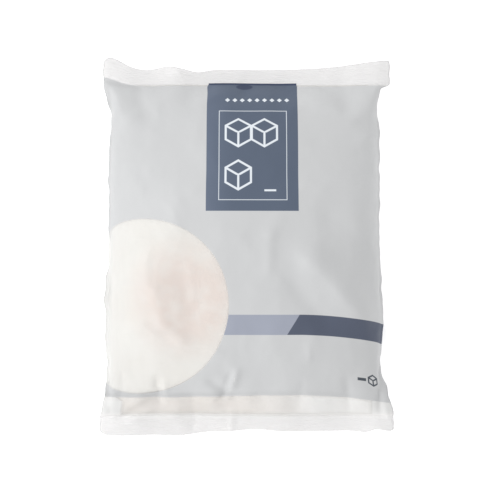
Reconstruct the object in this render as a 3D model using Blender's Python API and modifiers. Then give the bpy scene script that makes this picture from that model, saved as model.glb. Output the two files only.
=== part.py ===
"""A one-kilogram pillow bag of granulated sugar, lying on its back.

One tube of film is closed by a flat crimped seal at each end. The filling swells the tube between the
seals, which draws its sides in, so the corners of the seals stand out as ears and the film puckers
where it spreads from a flat seal into the full body. Underneath, the sugar settles into a flat patch.

Metres, +Z up. +X is the right of the printed front and +Y its top. The origin is on the ground under
the middle of the bag.
"""

import math

import bpy

# The whole bag as it lies.
WIDTH = 0.1876  # from ear to ear of the bottom seal
LENGTH = 0.2412  # from cut edge to cut edge
THICKNESS = 0.0440  # at the crown

# The film tube. A seal is two layers of film, drawn thicker here than the real 0.2 mm.
SEAL_THICKNESS = 0.0010
TOP_SEAL_LINE = 0.1035  # y where the top seal ends and the body begins
BOTTOM_SEAL_LINE = -0.1080
SEAM_HEIGHT = 0.0185  # of the line where the front and the back of the tube meet, at the sides
SEAL_HEIGHT = 0.0140  # of the same line at the two seals
SEAM_DROP_REACH = 0.0450  # how far from a seal the line starts to come down to it

# How full the body is. Powers above 2 make a form that is boxier than an ellipse.
FULLEST_Y = -0.0100  # the sugar has settled a little towards the bottom seal
FRONT_ACROSS_POWER = 2.3
FRONT_ALONG_POWER = 3.0
BACK_ACROSS_POWER = 2.7
BACK_ALONG_POWER = 3.2
SEAL_SLOPE_POWER = 1.45  # how steeply the film leaves a seal. 2 would be upright
GROUND_POWER = 3.4  # how soon the back settles on to the ground
GROUND_CLEARANCE = 0.0004  # what is nearer to the ground than this lies flat on it

# The sides, as x of the filled body and what flat film stands out beyond it.
LEFT_BODY = -0.0868
RIGHT_BODY = 0.0838
SIDE_FOLD = 0.0014  # the pressed fold that the flat tube left along each side
TOP_EAR_X = 0.0912  # half the width of the top seal
BOTTOM_EAR_X = 0.5 * WIDTH
# Each waver of a side is (y, reach along the side, how far out it goes).
LEFT_WAVERS = (
    (0.0830, 0.0110, -0.0014),
    (-0.0290, 0.0125, 0.0022),
    (-0.0560, 0.0180, 0.0016),
    (-0.0850, 0.0120, 0.0008),
)
RIGHT_WAVERS = ((0.0880, 0.0070, -0.0016), (-0.0460, 0.0300, 0.0012))

# The cut edges, as y along the middle of each seal.
TOP_EDGE = 0.1132
BOTTOM_EDGE = -0.1177
# Each waver of a cut edge is (x, reach along the edge, how far up the bag it goes).
TOP_WAVERS = (
    (-0.0870, 0.0110, 0.0074),
    (-0.0500, 0.0080, 0.0020),
    (-0.0310, 0.0070, -0.0016),
    (0.0980, 0.0380, 0.0060),
)
BOTTOM_WAVERS = (
    (-0.0780, 0.0300, -0.0028),
    (-0.0430, 0.0140, -0.0022),
    (0.0055, 0.0110, 0.0013),
    (0.0750, 0.0050, -0.0008),
    (0.0830, 0.0040, 0.0014),
)
LEFT_CORNERS = (0.0050, 0.0035)  # radius at the bottom and at the top
RIGHT_CORNERS = (0.0025, 0.0010)

# Puckers of the front film at a seal: (x, half width, depth, reach into the body).
TOP_PUCKERS = (
    (-0.0700, 0.0070, 0.0022, 0.0260),
    (-0.0360, 0.0060, 0.0012, 0.0200),
    (-0.0020, 0.0060, 0.0020, 0.0160),
    (0.0310, 0.0060, 0.0012, 0.0180),
    (0.0640, 0.0070, 0.0020, 0.0280),
)
BOTTOM_PUCKERS = (
    (-0.0790, 0.0060, 0.0016, 0.0220),
    (-0.0570, 0.0060, 0.0026, 0.0240),
    (-0.0100, 0.0060, 0.0024, 0.0300),
    (0.0300, 0.0060, 0.0012, 0.0200),
    (0.0620, 0.0070, 0.0018, 0.0300),
)
# Flutes of each seal out of its plane: (x, half width, rise).
TOP_FLUTES = (
    (-0.0880, 0.0140, 0.0050),
    (-0.0430, 0.0110, 0.0026),
    (0.0150, 0.0160, -0.0018),
    (0.0800, 0.0180, 0.0040),
)
BOTTOM_FLUTES = (
    (-0.0850, 0.0160, 0.0036),
    (-0.0350, 0.0140, -0.0020),
    (0.0250, 0.0150, 0.0022),
    (0.0860, 0.0130, 0.0030),
)

# Broad hollows of the front where the sugar has shifted: (x, y, reach across, reach along, depth).
FRONT_HOLLOWS = (
    (-0.0400, -0.0340, 0.0170, 0.0260, 0.0014),
    (0.0480, 0.0350, 0.0300, 0.0300, 0.0010),
    (-0.0450, 0.0620, 0.0260, 0.0180, 0.0012),
    (0.0050, -0.0620, 0.0260, 0.0140, 0.0008),
)
# Soft ridges of the film: (x, y, heading in degrees, half length, half width, height).
FRONT_RIDGES = (
    (0.0500, -0.0220, -49.0, 0.0300, 0.0060, 0.0012),
    (-0.0590, -0.0290, -78.0, 0.0270, 0.0050, 0.0011),
    (-0.0080, -0.0900, 98.0, 0.0140, 0.0040, 0.0009),
)

# The mesh: cells across and along the film, crowded towards the edges of the body where it curves most.
COLUMNS = 44
ROWS = 52
FOLD_COLUMNS = 1  # of the columns, those in the fold on each side
SEAL_ROWS = 5  # of the rows, those in the seal at each end
ACROSS_CROWDING = 0.85
ALONG_CROWDING = 0.86
BODY_ACROSS = 1 - 2 * FOLD_COLUMNS / COLUMNS  # how far out from the middle the body goes
BODY_ALONG = 1 - 2 * SEAL_ROWS / ROWS

FILM_COLOUR = (0.615, 0.625, 0.645, 1.0)
FILM_ROUGHNESS = 0.42


def ease(start, end, value):
    """0 up to start, 1 from end on, and a smooth rise between."""
    share = min(1.0, max(0.0, (value - start) / (end - start)))
    return share * share * (3 - 2 * share)


def hump(value, centre, reach):
    return math.exp(-(((value - centre) / reach) ** 2))


def crowd(value, strength):
    """Spreads even steps of -1 to 1 so that they get closer towards both ends."""
    quarter = strength * math.pi / 2
    return math.sin(quarter * value) / math.sin(quarter)


def wavers(table, at):
    return sum(out * hump(at, centre, reach) for centre, reach, out in table)


def corner_cut(corners, y):
    """How far a side draws in beside a cut edge, which rounds the corners of the seals."""
    radius = corners[1] if y > 0 else corners[0]
    into = radius - (0.5 * LENGTH - abs(y))
    if into <= 0:
        return 0.0
    return radius - math.sqrt(radius**2 - min(into, radius) ** 2)


def left_fold(y):
    """Width of the flat film beyond the body's left side."""
    fold = SIDE_FOLD + wavers(LEFT_WAVERS, y) * (1 - ease(0.098, 0.108, abs(y)))
    fold += (TOP_EAR_X + LEFT_BODY - SIDE_FOLD) * ease(0.082, 0.100, y)
    fold += (BOTTOM_EAR_X + LEFT_BODY - SIDE_FOLD) * ease(-0.083, -0.113, y)
    return fold - corner_cut(LEFT_CORNERS, y)


def right_fold(y):
    """Width of the flat film beyond the body's right side. Its top ear steps out sharply."""
    fold = SIDE_FOLD + wavers(RIGHT_WAVERS, y)
    fold += (TOP_EAR_X - RIGHT_BODY - SIDE_FOLD) * ease(0.1005, 0.1035, y)
    fold += (BOTTOM_EAR_X - RIGHT_BODY - SIDE_FOLD) * ease(-0.070, -0.110, y)
    return fold - corner_cut(RIGHT_CORNERS, y)


def across_film(u, y):
    """x of the film, and how far towards the side it is within the filled body, from -1 to 1."""
    side = crowd(max(-1.0, min(1.0, u / BODY_ACROSS)), ACROSS_CROWDING)
    x = 0.5 * (LEFT_BODY + RIGHT_BODY) + 0.5 * (RIGHT_BODY - LEFT_BODY) * side
    in_fold = max(0.0, abs(u) - BODY_ACROSS) / (1 - BODY_ACROSS)
    if u < 0:
        return x - in_fold * left_fold(y), side
    return x + in_fold * right_fold(y), side


def along_film(v):
    """y of the film before its cut edges waver. The seals are the outermost rows."""
    in_body = crowd(max(-1.0, min(1.0, v / BODY_ALONG)), ALONG_CROWDING)
    y = 0.5 * (TOP_SEAL_LINE + BOTTOM_SEAL_LINE) + 0.5 * (TOP_SEAL_LINE - BOTTOM_SEAL_LINE) * in_body
    in_seal = max(0.0, abs(v) - BODY_ALONG) / (1 - BODY_ALONG)
    if v < 0:
        return y - in_seal * (0.5 * LENGTH + BOTTOM_SEAL_LINE)
    return y + in_seal * (0.5 * LENGTH - TOP_SEAL_LINE)


def wavy_edge(y, x):
    """y of the film once its cut edges waver. The body's own y stays."""
    if y > TOP_SEAL_LINE:
        share = (y - TOP_SEAL_LINE) / (0.5 * LENGTH - TOP_SEAL_LINE)
        return TOP_SEAL_LINE + share * (TOP_EDGE + wavers(TOP_WAVERS, x) - TOP_SEAL_LINE)
    if y < BOTTOM_SEAL_LINE:
        share = (BOTTOM_SEAL_LINE - y) / (0.5 * LENGTH + BOTTOM_SEAL_LINE)
        return BOTTOM_SEAL_LINE + share * (BOTTOM_EDGE + wavers(BOTTOM_WAVERS, x) - BOTTOM_SEAL_LINE)
    return y


def fullness(y, side, along_power, across_power):
    """0 at the seals and the sides of the body, 1 at its fullest place."""
    if not BOTTOM_SEAL_LINE < y < TOP_SEAL_LINE:
        return 0.0
    if y > FULLEST_Y:
        along = (y - FULLEST_Y) / (TOP_SEAL_LINE - FULLEST_Y)
    else:
        along = (FULLEST_Y - y) / (FULLEST_Y - BOTTOM_SEAL_LINE)
    lengthwise = (1 - along**along_power) ** (1 / SEAL_SLOPE_POWER)
    return lengthwise * math.sqrt(max(0.0, 1 - abs(side) ** across_power))


def seam_height(x, y):
    """Height of the line where front and back meet, with the flutes of the seals."""
    from_top = TOP_SEAL_LINE - y
    from_bottom = y - BOTTOM_SEAL_LINE
    near_top = ease(SEAM_DROP_REACH, 0.0, from_top)
    near_bottom = ease(SEAM_DROP_REACH, 0.0, from_bottom)
    height = SEAM_HEIGHT + (SEAL_HEIGHT - SEAM_HEIGHT) * max(near_top, near_bottom)
    height += near_top**2 * wavers(TOP_FLUTES, x)
    height += near_bottom**2 * wavers(BOTTOM_FLUTES, x)
    return height


def puckers(table, x, inside):
    """Depth of the folds that run from a seal into the body, inside metres away from it."""
    if inside <= 0:
        return 0.0
    depth = 0.0
    for centre, half_width, deep, reach in table:
        fade = ease(0.0, 0.25 * reach, inside) * ease(reach, 0.25 * reach, inside)
        valley = hump(x, centre, half_width)
        shoulders = hump(abs(x - centre), 2 * half_width, half_width)
        depth += deep * fade * (valley - 0.45 * shoulders)
    return depth


def front_relief(x, y):
    """Height added to the front by its hollows, ridges and puckers."""
    height = 0.0
    for at_x, at_y, reach_across, reach_along, depth in FRONT_HOLLOWS:
        height -= depth * hump(x, at_x, reach_across) * hump(y, at_y, reach_along)
    for at_x, at_y, heading, half_length, half_width, rise in FRONT_RIDGES:
        turn = math.radians(heading)
        along = (x - at_x) * math.cos(turn) + (y - at_y) * math.sin(turn)
        across = (y - at_y) * math.cos(turn) - (x - at_x) * math.sin(turn)
        height += rise * hump(across, 0.0, half_width) * math.exp(-((along / half_length) ** 4))
    height -= puckers(TOP_PUCKERS, x, TOP_SEAL_LINE - y)
    height -= puckers(BOTTOM_PUCKERS, x, y - BOTTOM_SEAL_LINE)
    return height


def film_point(u, v, is_front):
    """Where the film at u across and v along, both -1 to 1, lies on the filled bag."""
    y = along_film(v)
    x, side = across_film(u, y)
    seam = seam_height(x, y)
    if is_front:
        full = fullness(y, side, FRONT_ALONG_POWER, FRONT_ACROSS_POWER)
        z = seam + (THICKNESS - SEAM_HEIGHT) * full
        z += front_relief(x, y) * min(1.0, 2.5 * full) + 0.5 * SEAL_THICKNESS
    else:
        full = fullness(y, side, BACK_ALONG_POWER, BACK_ACROSS_POWER)
        z = (seam - 0.5 * SEAL_THICKNESS) * (1 - full) ** GROUND_POWER
        if z < GROUND_CLEARANCE:
            z = 0.0
    return x, wavy_edge(y, x), z


def clear_scene():
    for item in list(bpy.data.objects):
        bpy.data.objects.remove(item)


def two_sheets():
    """The front and the back film as one closed slab, from -1 to 1 across and along and 1 thick."""
    bpy.ops.mesh.primitive_grid_add(x_subdivisions=COLUMNS, y_subdivisions=ROWS, size=2)
    sheet = bpy.context.active_object
    backing = sheet.modifiers.new("Back film", "SOLIDIFY")
    backing.thickness = 1.0
    backing.offset = -1.0
    evaluated = sheet.evaluated_get(bpy.context.evaluated_depsgraph_get())
    slab = bpy.data.meshes.new_from_object(evaluated)
    bpy.data.objects.remove(sheet)
    return slab


def film_material():
    material = bpy.data.materials.new("Printed film")
    material.use_nodes = True
    shader = material.node_tree.nodes["Principled BSDF"]
    shader.inputs["Base Color"].default_value = FILM_COLOUR
    shader.inputs["Roughness"].default_value = FILM_ROUGHNESS
    shader.inputs["Metallic"].default_value = 0.0
    return material


def make_bag(collection):
    slab = two_sheets()
    slab.name = "sugar_bag"
    for vertex in slab.vertices:
        is_front = vertex.co.z > -0.5
        vertex.co = film_point(vertex.co.x, vertex.co.y, is_front)
    slab.materials.clear()
    slab.materials.append(film_material())
    slab.shade_smooth()
    slab.set_sharp_from_angle(angle=math.radians(50))
    bag = bpy.data.objects.new("sugar_bag", slab)
    collection.objects.link(bag)
    return bag


def main():
    clear_scene()
    collection = bpy.data.collections.new("Sugar bag")
    bpy.context.scene.collection.children.link(collection)
    make_bag(collection)


main()
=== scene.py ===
"""Looks of the sugar bag: a printed film that is closed over its filling of sugar, on a pale floor.

The film starts as a flat tube with a crimped seal at each end. It is laid over the filled form that the
CAD solid has, and a short cloth step then lets it pucker where the flat film has more length or width
than the form takes up. The print is drawn by nodes in the film's own flat coordinates, so it bends and
shrinks with the film. Metres throughout, in the frame of the CAD model.
"""

import math

import bpy
import numpy as np
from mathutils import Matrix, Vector, noise


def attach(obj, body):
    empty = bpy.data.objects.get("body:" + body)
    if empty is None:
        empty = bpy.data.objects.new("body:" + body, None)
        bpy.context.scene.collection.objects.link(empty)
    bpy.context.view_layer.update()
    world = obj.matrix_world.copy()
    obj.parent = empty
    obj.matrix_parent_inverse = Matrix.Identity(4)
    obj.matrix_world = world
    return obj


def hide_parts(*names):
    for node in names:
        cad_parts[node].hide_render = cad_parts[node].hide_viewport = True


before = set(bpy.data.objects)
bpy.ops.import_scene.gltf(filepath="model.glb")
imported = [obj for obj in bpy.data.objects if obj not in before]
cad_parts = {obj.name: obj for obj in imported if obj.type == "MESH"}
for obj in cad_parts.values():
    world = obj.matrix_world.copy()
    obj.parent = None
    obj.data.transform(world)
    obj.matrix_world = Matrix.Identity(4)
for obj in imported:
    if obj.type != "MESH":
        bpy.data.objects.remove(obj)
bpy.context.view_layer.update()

# The filled form, with the same values as the CAD solid.
LENGTH = 0.2412
WIDTH = 0.1876
THICKNESS = 0.044
TOP_SEAL_LINE = 0.1035
BOTTOM_SEAL_LINE = -0.108
SEAM_HEIGHT = 0.0185
SEAL_HEIGHT = 0.014
SEAM_DROP_REACH = 0.045
FULLEST_Y = -0.01
FRONT_ACROSS_POWER = 2.3
FRONT_ALONG_POWER = 3.0
BACK_ACROSS_POWER = 2.7
BACK_ALONG_POWER = 3.2
SEAL_SLOPE_POWER = 1.45
GROUND_POWER = 3.4
LEFT_BODY = -0.0868
RIGHT_BODY = 0.0838
SIDE_FOLD = 0.0014
TOP_EAR_X = 0.0912
BOTTOM_EAR_X = 0.5 * WIDTH
# y where each ear starts to stand out, and where it is full, for the upper and the lower ear.
LEFT_EARS = ((0.082, 0.1), (-0.083, -0.113))
RIGHT_EARS = ((0.1005, 0.1035), (-0.07, -0.11))
LEFT_WAVERS_END = (0.098, 0.108)  # y over which the wavers of the left side fade, at both ends
LEFT_WAVERS = (
    (0.083, 0.011, -0.0014),
    (-0.029, 0.0125, 0.0022),
    (-0.056, 0.018, 0.0016),
    (-0.085, 0.012, 0.0008),
)
RIGHT_WAVERS = ((0.088, 0.007, -0.0016), (-0.046, 0.03, 0.0012))
TOP_EDGE = 0.1132
BOTTOM_EDGE = -0.1177
TOP_WAVERS = (
    (-0.087, 0.011, 0.0074),
    (-0.05, 0.008, 0.002),
    (-0.031, 0.007, -0.0016),
    (0.098, 0.038, 0.006),
)
BOTTOM_WAVERS = (
    (-0.078, 0.03, -0.0028),
    (-0.043, 0.014, -0.0022),
    (0.0055, 0.011, 0.0013),
    (0.075, 0.005, -0.0008),
    (0.083, 0.004, 0.0014),
)
LEFT_CORNERS = (0.005, 0.0035)
RIGHT_CORNERS = (0.0025, 0.001)
PUCKER_FADE = 0.25  # share of a pucker's reach over which it sets in
SHOULDERS = 0.45  # height of the rolls on both sides of a pucker, as a share of its depth
RELIEF_FADE = 2.5  # higher lets the relief of the front reach nearer to the sides
TOP_PUCKERS = (
    (-0.07, 0.007, 0.0022, 0.026),
    (-0.036, 0.006, 0.0012, 0.02),
    (-0.002, 0.006, 0.002, 0.016),
    (0.031, 0.006, 0.0012, 0.018),
    (0.064, 0.007, 0.002, 0.028),
)
BOTTOM_PUCKERS = (
    (-0.079, 0.006, 0.0016, 0.022),
    (-0.057, 0.006, 0.0026, 0.024),
    (-0.01, 0.006, 0.0024, 0.03),
    (0.03, 0.006, 0.0012, 0.02),
    (0.062, 0.007, 0.0018, 0.03),
)
TOP_FLUTES = (
    (-0.088, 0.014, 0.005),
    (-0.043, 0.011, 0.0026),
    (0.015, 0.016, -0.0018),
    (0.08, 0.018, 0.004),
)
BOTTOM_FLUTES = (
    (-0.085, 0.016, 0.0036),
    (-0.035, 0.014, -0.002),
    (0.025, 0.015, 0.0022),
    (0.086, 0.013, 0.003),
)
FRONT_HOLLOWS = (
    (-0.04, -0.034, 0.017, 0.026, 0.0014),
    (0.048, 0.035, 0.03, 0.03, 0.001),
    (-0.045, 0.062, 0.026, 0.018, 0.0012),
    (0.005, -0.062, 0.026, 0.014, 0.0008),
)
FRONT_RIDGES = (
    (0.05, -0.022, -49.0, 0.03, 0.006, 0.0012),
    (-0.059, -0.029, -78.0, 0.027, 0.005, 0.0011),
    (-0.008, -0.09, 98.0, 0.014, 0.004, 0.0009),
)

# Creases that only the film has: both ends in x and y, half width, and height or, below 0, depth.
CREASES = (
    (0.046, -0.0125, 0.0715, -0.0385, 0.01, 0.0052),
    (0.031, -0.025, 0.0465, -0.044, 0.0062, -0.0014),
    (0.054, 0.015, 0.069, 0.002, 0.008, -0.001),
    (0.069, 0.015, 0.07, -0.04, 0.011, 0.0012),
    (0.0148, 0.006, 0.014, -0.012, 0.0034, 0.0011),
    (0.0355, 0.039, 0.078, 0.041, 0.0022, 0.0008),
    (0.0735, 0.079, 0.085, 0.0815, 0.0036, -0.002),
    (0.077, 0.07, 0.086, 0.0725, 0.0024, 0.0014),
    (0.071, 0.06, 0.084, 0.063, 0.0026, -0.001),
    (-0.089, 0.106, -0.068, 0.101, 0.0016, -0.001),
    (-0.073, 0.096, -0.072, 0.084, 0.006, 0.0012),
    (-0.061, -0.005, -0.0575, -0.0275, 0.0028, 0.0006),
    (-0.0575, -0.0275, -0.0505, -0.05, 0.0036, 0.0006),
    (-0.0505, -0.05, -0.04, -0.0595, 0.0036, 0.0008),
    (-0.04, -0.0595, -0.019, -0.065, 0.0034, 0.0012),
    (-0.0385, -0.023, -0.0345, -0.044, 0.0105, -0.0018),
    (-0.035, -0.015, -0.033, -0.033, 0.0022, 0.0006),
    (-0.0593, -0.0096, -0.0587, -0.0229, 0.0018, -0.0009),
    (-0.0612, -0.0488, -0.0504, -0.0558, 0.0018, -0.001),
    (-0.0215, -0.085, -0.01, -0.0935, 0.0026, -0.0021),
    (-0.056, -0.084, -0.0555, -0.0975, 0.0018, -0.0022),
    (-0.0515, -0.086, -0.0505, -0.098, 0.0016, 0.001),
    (-0.0125, -0.096, -0.0065, -0.0795, 0.0022, 0.0023),
    (-0.0155, -0.096, -0.0105, -0.0815, 0.002, -0.002),
    (0.0385, -0.061, 0.0392, -0.07, 0.0013, 0.0008),
    (-0.0785, -0.081, -0.08, -0.095, 0.002, -0.001),
    (0.0345, -0.087, 0.033, -0.099, 0.0022, -0.001),
    (0.063, -0.084, 0.065, -0.102, 0.0022, -0.0012),
    (0.083, -0.085, 0.0905, -0.108, 0.0026, 0.0017),
    (-0.0595, -0.0965, -0.08, -0.1085, 0.002, -0.0013),
    (-0.056, -0.1, -0.073, -0.1115, 0.002, 0.0009),
    (-0.034, -0.095, -0.034, -0.116, 0.0016, -0.001),
    (-0.009, -0.096, -0.0095, -0.117, 0.0016, 0.0014),
    (-0.088, -0.093, 0.006, -0.0935, 0.0014, -0.001),
    (0.029, 0.075, 0.029, 0.015, 0.02, -0.0006),
)
SIDE_WAVERS = (130.0, 0.0012, 0.01)  # of the side folds: waves for each metre, depth and reach inwards
CRUMPLE_SCALE = 34.0  # of the fine unevenness, in creases for each metre
CRUMPLE_DEPTH = (0.00085, 0.0015)  # over the filling, and at the seals and corners
CRUMPLE_NOISE = (0.9, 2.1, 3, 0.9, 2.0)  # fractal dimension, lacunarity, octaves, offset and gain
CALM = (0.03, 0.04)  # from the seals and from the sides to where it is shallowest
CREASE_FADE = 1.5  # beyond the ends of a crease, in half widths
LAYERS_CLOSE = (0.001, 0.009)  # gap below which both layers share the creases, and above which they don't
BACK_FREE = (0.001, 0.006)  # height at which the back's own crumple sets in, and where it is full

# The flat tube of film. s runs across the front from its middle, and on round the back. t runs along it.
FLAT_WIDTH = 0.188
FLAT_BODY = 0.228  # between the seals
FLAT_SEAL = 0.012  # height of each crimped seal
COLUMNS = 88
BODY_ROWS = 104
SEAL_ROWS = 16
MIDDLE_X = -0.0015  # where s is 0 on the form
SLACK_POWER = 3.0  # higher puts the slack of a short row nearer to the sides
LAYER_GAP = 0.00016  # between the two layers of film in a seal
RIB_PITCH = 0.0015
RIB_HEIGHT = 0.00007
RIB_STEP = 0.0006  # between the ribs and the edges of a seal
RIM_CREASE = 0.9  # sharpness that the outer rim keeps when the film is subdivided
COLUMN_S = np.linspace(-0.5 * FLAT_WIDTH, 0.5 * FLAT_WIDTH, COLUMNS + 1)
FROM_SIDE = 0.5 * FLAT_WIDTH - np.abs(COLUMN_S)

# The cloth step.
CLOTH_SCALE = 10.0  # the solver is steadier on a bag metres long
CLOTH_FRAMES = 20
MOST_MOVE = 0.006
HOLD_REACH = (0.04, 0.045)  # from the sides and from the seals to where the front lies loosest
FRONT_HOLD = (0.05, 0.085)  # at the edges of the body, and over its middle
SEAL_HOLD = 0.2
SIDE_HOLD = 0.18
BACK_HOLD = (0.06, 0.18)  # off the ground, and on it
ON_GROUND = 0.0012  # height up to which the back lies on the ground

# The sugar inside the film.
FILM_TO_SUGAR = 0.0005
EMPTY_COLUMNS = 1  # of the film at each side, pressed flat with no sugar between its layers
EMPTY_ROWS = 6  # beside a seal, where the sugar ends in the same column as further in
SUGAR_ROOM = 0.0009  # least gap between the layers of film that holds sugar
SUGAR_TO_SEAL = 0.25  # gap between the sugar and a seal, in rows of the film
SPREAD_ROWS = 2  # on each side, over which the ends of the sugar are evened out


def ease(start, end, value):
    """0 up to start, 1 from end on, and a smooth rise between."""
    share = np.clip((value - start) / (end - start), 0.0, 1.0)
    return share * share * (3 - 2 * share)


def hump(value, centre, reach):
    return np.exp(-(((value - centre) / reach) ** 2))


def wavers(table, at):
    return sum(out * hump(at, centre, reach) for centre, reach, out in table)


def corner_cut(corners, y):
    radius = np.where(y > 0, corners[1], corners[0])
    into = np.clip(radius - (0.5 * LENGTH - np.abs(y)), 0.0, radius)
    return radius - np.sqrt(radius**2 - into**2)


def side_fold(y, side_x, side_wavers, top_ear, bottom_ear, corners):
    """Width of the flat film beyond one side of the body, at side_x away from the middle."""
    fold = SIDE_FOLD + side_wavers
    for ear_x, ear in ((TOP_EAR_X, top_ear), (BOTTOM_EAR_X, bottom_ear)):
        fold += (ear_x - side_x - SIDE_FOLD) * ease(*ear, y)
    return fold - corner_cut(corners, y)


def wavy_edge(y, x):
    """y of the film once its cut edges waver. The body's own y stays."""
    in_top = np.clip((y - TOP_SEAL_LINE) / (0.5 * LENGTH - TOP_SEAL_LINE), 0, 1)
    in_bottom = np.clip((BOTTOM_SEAL_LINE - y) / (0.5 * LENGTH + BOTTOM_SEAL_LINE), 0, 1)
    moved = np.clip(y, BOTTOM_SEAL_LINE, TOP_SEAL_LINE)
    moved += in_top * (TOP_EDGE + wavers(TOP_WAVERS, x) - TOP_SEAL_LINE)
    return moved + in_bottom * (BOTTOM_EDGE + wavers(BOTTOM_WAVERS, x) - BOTTOM_SEAL_LINE)


def fullness(y, side, along_power, across_power):
    """0 at the seals and the sides of the body, 1 at its fullest place."""
    body_y = np.clip(y, BOTTOM_SEAL_LINE, TOP_SEAL_LINE)
    reach = np.where(body_y > FULLEST_Y, TOP_SEAL_LINE - FULLEST_Y, FULLEST_Y - BOTTOM_SEAL_LINE)
    along = np.abs(body_y - FULLEST_Y) / reach
    lengthwise = np.clip(1 - along**along_power, 0, 1) ** (1 / SEAL_SLOPE_POWER)
    return lengthwise * np.sqrt(np.clip(1 - np.abs(side) ** across_power, 0, 1))


def seam_height(x, y):
    """Height of the line where front and back meet, with the flutes of the seals."""
    near_top = ease(SEAM_DROP_REACH, 0.0, TOP_SEAL_LINE - y)
    near_bottom = ease(SEAM_DROP_REACH, 0.0, y - BOTTOM_SEAL_LINE)
    height = SEAM_HEIGHT + (SEAL_HEIGHT - SEAM_HEIGHT) * np.maximum(near_top, near_bottom)
    height += near_top**2 * wavers(TOP_FLUTES, x)
    return height + near_bottom**2 * wavers(BOTTOM_FLUTES, x)


def puckers(table, x, inside):
    """Depth of the folds that run from a seal into the body, inside metres away from it."""
    depth = np.zeros_like(x)
    for centre, half_width, deep, reach in table:
        fade = ease(0.0, PUCKER_FADE * reach, inside) * ease(reach, PUCKER_FADE * reach, inside)
        valley = hump(x, centre, half_width)
        shoulders = hump(np.abs(x - centre), 2 * half_width, half_width)
        depth += deep * fade * (valley - SHOULDERS * shoulders)
    return depth


def front_relief(x, y):
    """Height added to the front by its hollows, ridges and puckers."""
    height = np.zeros_like(x)
    for at_x, at_y, reach_across, reach_along, depth in FRONT_HOLLOWS:
        height -= depth * hump(x, at_x, reach_across) * hump(y, at_y, reach_along)
    for at_x, at_y, heading, half_length, half_width, rise in FRONT_RIDGES:
        turn = math.radians(heading)
        along = (x - at_x) * math.cos(turn) + (y - at_y) * math.sin(turn)
        across = (y - at_y) * math.cos(turn) - (x - at_x) * math.sin(turn)
        height += rise * hump(across, 0.0, half_width) * np.exp(-((along / half_length) ** 4))
    height -= puckers(TOP_PUCKERS, x, TOP_SEAL_LINE - y)
    height -= puckers(BOTTOM_PUCKERS, x, y - BOTTOM_SEAL_LINE)
    return height


def filled_form(across, y, is_front):
    """Points of the filled form at shares -1 to 1 across each row y, folds and ears included."""
    left_wavers = wavers(LEFT_WAVERS, y) * (1 - ease(*LEFT_WAVERS_END, np.abs(y)))
    left = LEFT_BODY - side_fold(y, -LEFT_BODY, left_wavers, *LEFT_EARS, LEFT_CORNERS)
    right = RIGHT_BODY + side_fold(y, RIGHT_BODY, wavers(RIGHT_WAVERS, y), *RIGHT_EARS, RIGHT_CORNERS)
    x = 0.5 * (left + right) + 0.5 * (right - left) * across
    side = np.clip((2 * x - LEFT_BODY - RIGHT_BODY) / (RIGHT_BODY - LEFT_BODY), -1, 1)
    seam = seam_height(x, y)
    if is_front:
        full = fullness(y, side, FRONT_ALONG_POWER, FRONT_ACROSS_POWER)
        z = seam + (THICKNESS - SEAM_HEIGHT) * full
        z += front_relief(x, y) * np.minimum(1.0, RELIEF_FADE * full)
    else:
        full = fullness(y, side, BACK_ALONG_POWER, BACK_ACROSS_POWER)
        z = seam * (1 - full) ** GROUND_POWER
    return np.stack([x, wavy_edge(y, x), z], axis=-1)


def arc_shares(points):
    """How far along a line each of its points is, 0 to 1."""
    steps = np.linalg.norm(np.diff(points, axis=0), axis=1)
    lengths = np.concatenate([[0.0], np.cumsum(steps)])
    return lengths / lengths[-1]


def film_rows():
    """y of each row of the film on the filled form, and its t on the flat film."""
    fine_y = np.linspace(BOTTOM_SEAL_LINE, TOP_SEAL_LINE, 1200)
    middle = np.zeros_like(fine_y)
    front_share = arc_shares(filled_form(middle, fine_y, True))
    back_share = arc_shares(filled_form(middle, fine_y, False))
    steps = np.linspace(0, 1, BODY_ROWS + 1)
    body_y = np.interp(steps, 0.5 * (front_share + back_share), fine_y)
    bottom_y = np.linspace(-0.5 * LENGTH, BOTTOM_SEAL_LINE, SEAL_ROWS + 1)
    top_y = np.linspace(TOP_SEAL_LINE, 0.5 * LENGTH, SEAL_ROWS + 1)
    half = 0.5 * FLAT_BODY
    body_t = -half + FLAT_BODY * steps
    seal_t = np.linspace(0, FLAT_SEAL, SEAL_ROWS + 1)
    y = np.concatenate([bottom_y[:-1], body_y, top_y[1:]])
    t = np.concatenate([-half - seal_t[:0:-1], body_t, half + seal_t[1:]])
    return y, t


def resampled(line, along, at):
    """Points of a line at other places along it."""
    return np.stack([np.interp(at, along, line[:, axis]) for axis in range(3)], axis=1)


def sheet_on_form(rows_y, is_front):
    """The film of one side on the filled form, laid out both ways from its middle.

    Where a row of the form is shorter than the film, the film lies slack beside the middle, not in it.
    """
    fine = np.linspace(-1, 1, 1500)
    steps = np.linspace(-1, 1, COLUMNS + 1)
    away = np.abs(steps)
    rows = []
    for y in rows_y:
        line = filled_form(fine, np.full_like(fine, y), is_front)
        width = np.linalg.norm(np.diff(line, axis=0), axis=1).sum()
        along = width * arc_shares(line)
        middle = np.interp(MIDDLE_X, line[:, 0], along)
        half = np.where(steps < 0, middle, width - middle)
        slack = np.maximum(0.0, 0.5 * FLAT_WIDTH / half - 1) * (BOTTOM_SEAL_LINE < y < TOP_SEAL_LINE)
        at = middle + half * steps * (1 + slack * (1 - away**SLACK_POWER))
        rows.append(resampled(line, along, at))
    return np.array(rows)


def cells(numbers, flip):
    """Quads between the rows and columns of a grid of vertex numbers."""
    corners = [numbers[:-1, :-1], numbers[:-1, 1:], numbers[1:, 1:], numbers[1:, :-1]]
    if flip:
        corners.reverse()
    return np.stack([corner.ravel() for corner in corners], axis=1)


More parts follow.
